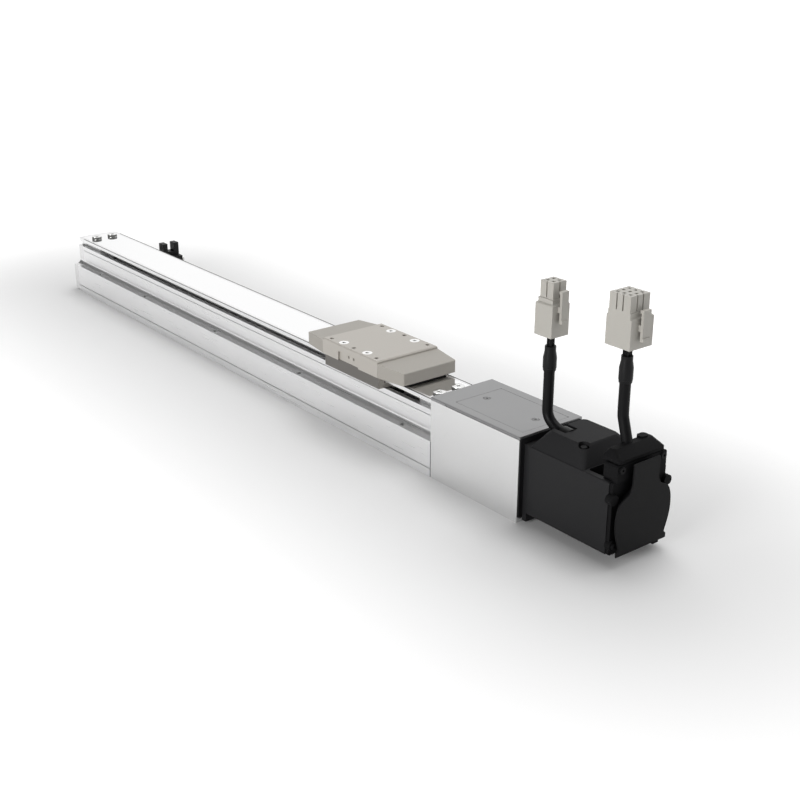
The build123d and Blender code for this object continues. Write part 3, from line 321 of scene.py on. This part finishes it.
def finish(name, colour, other_colour, metallic, roughness, grain, stretch, bump, gloss=0.5):
    material = bpy.data.materials.new(name)
    material.use_nodes = True
    net = material.node_tree.nodes
    links = material.node_tree.links
    shader = net["Principled BSDF"]
    shader.inputs["Metallic"].default_value = metallic
    shader.inputs["Specular IOR Level"].default_value = gloss
    place = net.new("ShaderNodeTexCoord")
    mapping = net.new("ShaderNodeMapping")
    mapping.inputs["Scale"].default_value = stretch
    links.new(place.outputs["Object"], mapping.inputs["Vector"])
    fine = net.new("ShaderNodeTexNoise")
    fine.inputs["Scale"].default_value = grain
    fine.inputs["Detail"].default_value = grain_detail
    links.new(mapping.outputs["Vector"], fine.inputs["Vector"])
    wide = net.new("ShaderNodeTexNoise")
    wide.inputs["Scale"].default_value = patch_scale
    wide.inputs["Detail"].default_value = patch_detail
    links.new(place.outputs["Object"], wide.inputs["Vector"])
    tint = net.new("ShaderNodeMix")
    tint.data_type = "RGBA"
    tint.inputs["A"].default_value = (*colour, 1)
    tint.inputs["B"].default_value = (*other_colour, 1)
    links.new(wide.outputs["Fac"], tint.inputs["Factor"])
    links.new(tint.outputs["Result"], shader.inputs["Base Color"])
    spread = map_range(net, links, fine.outputs["Fac"], noise_middle, roughness, "LINEAR")
    links.new(spread, shader.inputs["Roughness"])
    relief = net.new("ShaderNodeBump")
    relief.inputs["Strength"].default_value = bump
    relief.inputs["Distance"].default_value = relief_depth
    links.new(fine.outputs["Fac"], relief.inputs["Height"])
    links.new(relief.outputs["Normal"], shader.inputs["Normal"])
    return material


# %% [markdown]
# Each call gives the colour and the colour of the broad patches, how metallic it is, the
# range of its roughness, how fine the grain is and how it is stretched, the height of the
# bump, and the gloss where it is weaker than usual. The profile, its cover and the drive
# housing are aluminium, drawn or machined, and the strip is polished steel.

# %% Finishes of the profile and the drive housing
even = (1.0, 1.0, 1.0)
along = (0.02, 1.0, 1.0)
around = (1.0, 0.05, 0.05)
layered = (1.0, 0.02, 0.02)

anodised = finish("drawn_anodised_aluminium", (0.87, 0.87, 0.87), (0.85, 0.85, 0.855),
                  0.88, (0.27, 0.33), 1400, along, 0.08)
machined = finish("machined_anodised_aluminium", (0.79, 0.79, 0.79), (0.77, 0.77, 0.77),
                  0.88, (0.22, 0.28), 2200, even, 0.06)
grey_cover = finish("grey_sheet_cover", (0.29, 0.29, 0.29), (0.265, 0.265, 0.27),
                    0.55, (0.30, 0.38), 2600, even, 0.10)
strip_steel = finish("bright_steel_strip", (0.985, 0.985, 0.985), (0.97, 0.97, 0.975),
                     1.0, (0.04, 0.07), 1200, along, 0.02)
# The guide rails take a pale, nearly matte tone as painted light, so the slot along each side shows light
# grey where it lies in shade.
rail_painted_light = finish("satin_rail_painted_light", (0.80, 0.79, 0.77), (0.74, 0.73, 0.71),
                       0.10, (0.40, 0.50), 1600, along, 0.10)

# %% [markdown]
# The table plate is a warm grey. Its end caps are moulded resin, a little darker, and the
# arms of the carriage under it are painted darker still, as painted shade for the shadow under the table.

# %% Finishes of the table
table_metal = finish("warm_grey_table", (0.47, 0.445, 0.405), (0.44, 0.415, 0.38),
                     0.10, (0.42, 0.50), 3000, even, 0.16)
cap_resin = finish("warm_grey_resin", (0.37, 0.35, 0.315), (0.345, 0.325, 0.295),
                   0.0, (0.48, 0.56), 2400, even, 0.20)
# Near white is a painted highlight for the light on the chamfers of the holes.
insert_painted_highlight = finish("thread_insert_painted_highlight", (0.97, 0.97, 0.96), (0.95, 0.95, 0.94),
                      0.20, (0.25, 0.35), 2600, even, 0.06)
insert_screw = finish("warm_grey_screw", (0.24, 0.225, 0.20), (0.20, 0.19, 0.17),
                      0.20, (0.35, 0.45), 2600, even, 0.10)
# Near black on the carriage arms is painted shade for the shadow under the table.
carriage_painted_shade = finish("shaded_carriage_painted_shade", (0.14, 0.132, 0.12), (0.12, 0.113, 0.104),
                        0.10, (0.45, 0.55), 2600, even, 0.12)

# %% [markdown]
# The motor is black all over, but its painted body, cast caps, moulded hood and leads
# each have a slightly different black. They are very dark, so their weak gloss matters
# more than their colour.

# %% Finishes of the motor and its leads
motor_paint = finish("black_motor_paint", (0.015, 0.015, 0.016), (0.012, 0.012, 0.013),
                     0.0, (0.40, 0.50), 2400, even, 0.25, 0.16)
cap_paint = finish("black_cap_paint", (0.007, 0.007, 0.0075), (0.005, 0.005, 0.0055),
                   0.0, (0.45, 0.55), 2400, even, 0.30, 0.10)
lid_paint = finish("black_lid_paint", (0.0095, 0.0095, 0.010), (0.008, 0.008, 0.0085),
                   0.0, (0.50, 0.60), 2400, even, 0.30, 0.04)
hood_plastic = finish("black_hood_plastic", (0.023, 0.023, 0.024), (0.019, 0.019, 0.020),
                      0.0, (0.50, 0.60), 2600, even, 0.25, 0.06)
black_sheet = finish("black_steel_sheet", (0.010, 0.010, 0.011), (0.007, 0.007, 0.008),
                     0.2, (0.40, 0.48), 2200, even, 0.15, 0.10)
black_plastic = finish("black_moulded_plastic", (0.010, 0.010, 0.010), (0.007, 0.007, 0.007),
                       0.0, (0.38, 0.46), 2600, even, 0.20, 0.20)
jacket = finish("black_lead_jacket", (0.004, 0.004, 0.0045), (0.003, 0.003, 0.0035),
                0.0, (0.38, 0.48), 1800, even, 0.20, 0.12)
shrink = finish("black_shrink_sleeve", (0.007, 0.007, 0.0075), (0.005, 0.005, 0.0055),
                0.0, (0.30, 0.40), 1500, even, 0.20, 0.15)
nylon = finish("natural_nylon", (0.455, 0.438, 0.40), (0.43, 0.413, 0.376),
               0.0, (0.36, 0.46), 2000, even, 0.12)

# %% [markdown]
# Screws, bearings and the parts inside are steel, turned aluminium and rubber. Turned
# metal has its streaks around the axis, and the iron cores show the edges of their plates.

# %% Finishes of screws and of the parts inside
steel = finish("plated_steel", (0.58, 0.58, 0.57), (0.50, 0.50, 0.49),
               1.0, (0.28, 0.40), 2600, even, 0.12)
bright_steel = finish("bright_plated_steel", (0.90, 0.90, 0.89), (0.84, 0.84, 0.83),
                      1.0, (0.14, 0.22), 2600, even, 0.06)
# Painted shade for the sides of the screw heads, darker than their lit tops.
head_side_shade_paint = finish("screw_head_side_painted_shade", (0.16, 0.16, 0.155), (0.12, 0.12, 0.115),
                       0.3, (0.45, 0.60), 3000, even, 0.50)
ground_steel = finish("ground_steel", (0.55, 0.55, 0.555), (0.48, 0.48, 0.485),
                      1.0, (0.16, 0.26), 1600, along, 0.10)
# Painted shade for the dark line along the edges of the fixed cover.
edge_shade_paint = finish("edge_shade_paint_steel", (0.05, 0.048, 0.045), (0.035, 0.034, 0.032),
                    0.6, (0.35, 0.45), 2600, even, 0.10)
cover_screw = finish("grey_cover_screw", (0.20, 0.20, 0.20), (0.17, 0.17, 0.17),
                     0.5, (0.32, 0.42), 2600, even, 0.10)
rubber = finish("black_rubber", (0.020, 0.020, 0.020), (0.014, 0.014, 0.014),
                0.0, (0.65, 0.80), 1200, even, 0.35, 0.25)
red_rubber = finish("moulded_elastomer", (0.35, 0.05, 0.03), (0.28, 0.04, 0.025),
                    0.0, (0.50, 0.62), 1500, even, 0.25)
turned_metal = finish("turned_aluminium", (0.70, 0.70, 0.71), (0.62, 0.62, 0.63),
                      1.0, (0.24, 0.36), 2000, around, 0.15)
core_plates = finish("stacked_core_plates", (0.22, 0.22, 0.24), (0.16, 0.16, 0.18),
                     0.8, (0.40, 0.55), 2500, layered, 0.60)
coated_glass = finish("coated_glass", (0.55, 0.60, 0.62), (0.50, 0.55, 0.58),
                      0.0, (0.04, 0.08), 800, even, 0.02)
print("materials:", len(bpy.data.materials))

# %% [markdown]
# ## The CAD pieces and their finishes
# Most pieces keep their CAD shape and only take a finish. A piece that isn't in the list,
# such as a bearing ring or a socket screw, is plain plated steel.

# %% Dress the CAD pieces
finish_of = {
    "base_profile": anodised, "top_cover": anodised, "cover_strip": strip_steel,
    "front_guide_rail": rail_painted_light, "back_guide_rail": rail_painted_light, "ball_screw": ground_steel,
    "ball_nut": ground_steel, "motor_shaft": ground_steel,
    "far_end_plate": machined, "far_bearing_block": machined, "drive_bearing_block": machined,
    "bearing_retainer": machined, "drive_housing": machined, "carriage": carriage_painted_shade,
    "housing_top_cover": grey_cover, "access_cover": grey_cover,
    "table_plate": table_metal, "far_end_cap": cap_resin, "near_end_cap": cap_resin,
    "thread_inserts": insert_painted_highlight, "table_screws": insert_screw,
    "motor_screws": cap_paint, "lock_nut": black_sheet,
    "sensor_bracket": black_sheet, "sensor_flag": black_sheet, "backing_plate": motor_paint,
    "screw_hub": turned_metal, "motor_hub": turned_metal, "coupling_spider": red_rubber,
    "rubber_stops": rubber, "shaft_seal": rubber, "strip_wipers": rubber, "carriage_seals": black_plastic,
    "motor_flange": motor_paint, "stator_body": motor_paint, "encoder_cover": lid_paint,
    "encoder_cap": cap_paint, "power_hood": hood_plastic,
    "slot_sensor": black_plastic, "lead_clip": black_plastic,
    "stator_core": core_plates, "rotor": core_plates, "encoder_disc": coated_glass,
    "power_sleeve": shrink, "encoder_sleeve": shrink,
    "power_wires": jacket, "encoder_wires": jacket,
    "power_plug": nylon, "encoder_plug": nylon,
    "power_lead": jacket, "encoder_lead": jacket,
}
for name, piece in nodes.items():
    dress(piece, finish_of.get(name, steel))
print("dressed:", len(nodes), "pieces,", len(finish_of), "of them by name")

# %% [markdown]
# ## Fine bevels
# The pieces in plain sight are copied, merged and given a fine bevel, because a machined
# edge always catches a thin line of light. Weighted normals keep the flat faces flat.

# %% Fine bevels
merge_distance = 0.005 * MM
flat_angle = math.radians(0.5)


def bevelled_copy(node, width):
    pick(nodes[node])
    bpy.ops.object.duplicate()
    piece = bpy.context.object
    piece.name = node + "_finished"
    piece.data.name = piece.name
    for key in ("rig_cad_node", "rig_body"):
        if key in piece:
            del piece[key]
    bpy.ops.object.mode_set(mode="EDIT")
    bpy.ops.mesh.select_all(action="SELECT")
    bpy.ops.mesh.remove_doubles(threshold=merge_distance)
    bpy.ops.mesh.dissolve_limited(angle_limit=flat_angle)
    bpy.ops.object.mode_set(mode="OBJECT")
    round_edges(piece, width, miter_outer="MITER_ARC", harden_normals=False)
    smooth(piece)
    put_modifier(piece, "WEIGHTED_NORMAL", keep_sharp=True)
    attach(piece, body_of_node[node])
    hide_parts(node)
    return piece


bevel_widths = {
    "drive_housing": 0.35,
    "housing_top_cover": 0.35,
    "base_profile": 0.30,
    "far_end_cap": 0.80,
    "near_end_cap": 0.80,
    "access_cover": 0.15,
    "table_plate": 0.50,
    "carriage": 0.15,
    "stator_body": 0.30,
    "motor_flange": 0.25,
    "backing_plate": 0.15,
    "encoder_cap": 0.30,
    "encoder_cover": 0.25,
    "power_hood": 0.40,
    "power_plug": 0.22,
    "encoder_plug": 0.22,
    "slot_sensor": 0.20,
    "far_end_plate": 0.25,
    "top_cover": 0.45,
}
for node, width in bevel_widths.items():
    piece = bevelled_copy(node, width * MM)
    print(node, "has", len(piece.data.polygons), "faces after its bevel")

# %% [markdown]
# The arms of the carriage carry painted shade for the shadow under the table, so they are darker than its
# machined ends, and the faces that look along the slide take the lighter finish.

# %% Lighter ends of the carriage
faces_along_slide = 0.7
carriage_piece = bpy.data.objects["carriage_finished"]
# The arms keep their painted shade, and the end faces take the lighter finish.
carriage_piece.data.materials.append(cap_resin)
for face in carriage_piece.data.polygons:
    face.material_index = 1 if abs(face.normal.x) > faces_along_slide else 0
print("lighter faces:", sum(face.material_index for face in carriage_piece.data.polygons))

# %% [markdown]
# ## Clamp screws with low flat heads
# The heads that hold the fixed cover are low bright discs, with their sides painted dark as painted shade.
# Each one is turned from a cylinder, gets a hexagon socket by a boolean cut, and stands on its own
# shank. The two small screws of the access cover are made in the same way, only darker.

# %% Clamp screws with low flat heads
socket_sides = 6
head_sides = 56
shank_sides = 24
head_bevel = 0.15
shade_paint_below = 0.3


def cylinder_piece(sides, radius, height, x, y, z):
    clear_selection()
    bpy.ops.mesh.primitive_cylinder_add(
        vertices=sides, radius=radius * MM, depth=height * MM, location=(x * MM, y * MM, z * MM))
    return bpy.context.object


def disc_screw(name, place, head_radius, head_height, shank_radius, shank_length, socket_radius, material):
    x, y, z = place
    socket = cylinder_piece(socket_sides, socket_radius, head_height, x, y, z + head_height)
    head = cylinder_piece(head_sides, head_radius, head_height, x, y, z + head_height / 2)
    cut(head, socket)
    round_edges(head, head_bevel * MM)
    shank = cylinder_piece(shank_sides, shank_radius, shank_length, x, y, z - shank_length / 2)
    dress(shank, material)
    dress(head, material)
    # The side faces of the head take painted shade, and the top keeps the bright finish.
    head.data.materials.append(head_side_shade_paint)
    for face in head.data.polygons:
        face.material_index = 1 if abs(face.normal.z) < shade_paint_below else 0
    screw = join_pieces([head, shank], name)
    settle(screw)
    smooth(screw)
    return screw


strip_level = 46.4
cover_level = 50.8
far_clamp = (4.1, 2.1, 1.95, 9.0, 1.3, bright_steel)
near_clamp = (4.1, 1.3, 1.95, 6.0, 1.3, bright_steel)
access_screw = (2.2, 0.9, 1.25, 4.4, 0.75, cover_screw)
screw_rows = [
    ("far_clamp_a", (-308.1, -7.4, strip_level), far_clamp),
    ("far_clamp_b", (-308.1, 7.4, strip_level), far_clamp),
    ("near_clamp_a", (167.3, -7.4, strip_level), near_clamp),
    ("near_clamp_b", (167.3, 7.4, strip_level), near_clamp),
    ("access_screw_a", (201.0, 0.5, cover_level), access_screw),
    ("access_screw_b", (241.8, 0.5, cover_level), access_screw),
]
cover_screws = join_pieces([disc_screw(name, place, *kind) for name, place, kind in screw_rows],
                           "cover_screws_turned")
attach(cover_screws, "frame")
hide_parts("cover_screws")
print("cover screws:", len(cover_screws.data.polygons), "faces")

# %% [markdown]
# ## Painted shade lines at the edges of the fixed cover
# A narrow dark bead runs along each long edge of the cover, as painted shade for the shadow line
# at that edge. It is a slim bead that lies in the edge, rounded by a bevel.

# %% Painted shade lines at the edges of the fixed cover
shade_line_from = -313.0
shade_line_to = 179.0
shade_line_middle = 17.22
shade_line_half_width = 0.42
shade_line_depth = 0.40
shade_line_rise = 0.04
shade_line_bevel = 0.03


def block_piece(x_from, x_to, y_from, y_to, z_from, z_to):
    clear_selection()
    bpy.ops.mesh.primitive_cube_add(
        size=1, location=((x_from + x_to) / 2 * MM, (y_from + y_to) / 2 * MM, (z_from + z_to) / 2 * MM),
        scale=((x_to - x_from) * MM, (y_to - y_from) * MM, (z_to - z_from) * MM))
    return bpy.context.object


shade_lines = []
for side in (-1, 1):
    shade_line = block_piece(shade_line_from, shade_line_to,
                       side * shade_line_middle - shade_line_half_width, side * shade_line_middle + shade_line_half_width,
                       strip_level - shade_line_depth, strip_level + shade_line_rise)
    settle(shade_line)
    round_edges(shade_line, shade_line_bevel * MM)
    shade_lines.append(shade_line)
cover_shade_lines = join_pieces(shade_lines, "cover_edge_shade_lines")
# The near black finish of the beads is painted shade.
dress(cover_shade_lines, edge_shade_paint)
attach(cover_shade_lines, "frame")
print("cover seams:", len(cover_shade_lines.data.polygons), "faces")

# %% [markdown]
# ## Insert flanges on the table
# Each steel thread insert ends in a thin flange around its hole, coloured near white as a painted
# highlight for the light on the hole chamfers. A thin disc is cut through by a smaller cylinder to leave a
# flat ring.

# %% Insert flanges on the table
insert_places = [(85.2, -19.0), (110.2, -19.0), (85.2, 19.0), (110.2, 19.0)]
insert_level = 58.72
flange_radius = 3.25
flange_height = 0.10
flange_sides = 48
hole_radius = 1.25
hole_sides = 32

flanges = []
for x, y in insert_places:
    hole = cylinder_piece(hole_sides, hole_radius, 4 * flange_height, x, y, insert_level)
    flange = cylinder_piece(flange_sides, flange_radius, flange_height,
                            x, y, insert_level + flange_height / 2)
    cut(flange, hole)
    settle(flange)
    flanges.append(flange)
insert_rings = join_pieces(flanges, "insert_flanges")
# The near white flanges carry the painted highlight.
dress(insert_rings, insert_painted_highlight)
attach(insert_rings, "table")
print("insert flanges:", len(insert_rings.data.polygons), "faces")

# %% [markdown]
# ## Painted shade in the joint between profile and housing
# A thin dark frame stands in the joint between the profile and the motor housing, as painted shade for the
# shadow gap there. Only its rim shows. It fills the small groove that the two bevelled edges leave, level
# with both.

# %% Painted shade in the joint between profile and housing
joint_x = 179.3
shade_frame_thickness = 0.6
shade_frame_half_width = 24.0
shade_frame_bottom = 0.1
shade_frame_top = 23.1
shade_frame_rim = 3.0
window_reach = 2.0

shade_frame_window = block_piece(joint_x - window_reach, joint_x + window_reach, shade_frame_rim - shade_frame_half_width,
                            shade_frame_half_width - shade_frame_rim, shade_frame_rim, shade_frame_top - shade_frame_rim)
shade_frame = block_piece(joint_x - shade_frame_thickness / 2, joint_x + shade_frame_thickness / 2,
                     -shade_frame_half_width, shade_frame_half_width, shade_frame_bottom, shade_frame_top)
shade_frame.name = "joint_shade_frame"
cut(shade_frame, shade_frame_window)
settle(shade_frame)
# The black rubber finish on this frame is painted shade.
dress(shade_frame, rubber)
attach(shade_frame, "frame")
print("gasket:", len(shade_frame.data.polygons), "faces")

# %% [markdown]
# ## Shrink sleeves
# A shrink sleeve grips each lead below its plug. It is drawn up ring by ring: a circle is
# filled, then extruded and resized, which gives the foot, the long body, the cone and the
# narrow neck.

# %% Shrink sleeves
power_lead_x = 76.6 + joint_x
power_lead_y = -4.8
encoder_lead_x = 127.2 + joint_x
encoder_lead_y = -1.3
foot_radius = 3.55
body_radius = 3.75
neck_radius = 3.1
ring_sides = 40


def shrink_sleeve(name, node, x, y, rings):
    clear_selection()
    height, radius = rings[0]
    bpy.ops.mesh.primitive_circle_add(vertices=ring_sides, radius=radius * MM, fill_type="NGON",
                                      location=(0, 0, height * MM))
    piece = bpy.context.object
    piece.name = name
    settle(piece)
    bpy.ops.object.mode_set(mode="EDIT")
    bpy.ops.mesh.select_all(action="SELECT")
    for next_height, next_radius in rings[1:]:
        bpy.ops.mesh.extrude_region_move(
            TRANSFORM_OT_translate={"value": (0, 0, (next_height - height) * MM)})
        factor = next_radius / radius
        bpy.ops.transform.resize(value=(factor, factor, 1), center_override=(0, 0, 0))
        height, radius = next_height, next_radius
    bpy.ops.mesh.select_all(action="SELECT")
    bpy.ops.mesh.normals_make_consistent(inside=False)
    bpy.ops.object.mode_set(mode="OBJECT")
    piece.location = (x * MM, y * MM, 0)
    settle(piece)
    smooth(piece)
    dress(piece, shrink)
    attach(piece, body_of_node[node])
    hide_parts(node)
    return piece


def sleeve_rings(low, high):
    return [(low, foot_radius - 0.2), (low + 0.4, foot_radius), (low + 1.6, foot_radius),
            (low + 1.7, body_radius), (high - 6.5, body_radius),
            (high - 3.0, neck_radius), (high - 0.3, neck_radius), (high, neck_radius - 0.3)]


power_sleeve = shrink_sleeve("power_shrink_sleeve", "power_sleeve", power_lead_x, power_lead_y,
                             sleeve_rings(86.5, 100.75))
encoder_sleeve = shrink_sleeve("encoder_shrink_sleeve", "encoder_sleeve", encoder_lead_x, encoder_lead_y,
                               sleeve_rings(94.0, 108.75))
print("sleeves:", len(power_sleeve.data.polygons), "and", len(encoder_sleeve.data.polygons), "faces")

# %% [markdown]
# ## Leads
# Each lead is a short length of round black cable that stands up from the motor. A NURBS
# curve through a few listed control points bends as a cable does, and its round bevel
# gives it its thickness.

# %% Leads
lead_radius = 3.0 * MM
power_exit_level = 53.6


def lead(name, node, points, body):
    curve = bpy.data.curves.new(name, "CURVE")
    curve.dimensions = "3D"
    spline = curve.splines.new("NURBS")
    spline.points.add(len(points) - 1)
    for point, place in zip(spline.points, points):
        point.co = (*(value * MM for value in place), 1)
    spline.order_u = 3
    spline.use_endpoint_u = True
    spline.resolution_u = 12
    curve.bevel_depth = lead_radius
    curve.bevel_resolution = 8
    curve.use_fill_caps = True
    piece = bpy.data.objects.new(name, curve)
    bpy.context.scene.collection.objects.link(piece)
    dress(piece, jacket)
    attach(piece, body)
    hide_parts(node)
    exit_point = [value * MM for value in points[0]]
    return piece, exit_point


power_points = [
    (98.5 + joint_x, power_lead_y, power_exit_level),
    (power_lead_x, power_lead_y, power_exit_level),
    (power_lead_x, power_lead_y, 75.5),
    (power_lead_x, power_lead_y, 99.0),
]
encoder_points = [
    (132.5 + joint_x, encoder_lead_y, 58.5),
    (127.7 + joint_x, encoder_lead_y, 74.2),
    (encoder_lead_x, encoder_lead_y, 77.2),
    (encoder_lead_x, encoder_lead_y, 92.0),
    (encoder_lead_x, encoder_lead_y, 107.0),
]
power_lead, power_exit = lead("power_cable", "power_lead", power_points, "frame")
encoder_lead, encoder_exit = lead("encoder_cable", "encoder_lead", encoder_points, "frame")
print("leads:", len(power_points), "and", len(encoder_points), "control points")
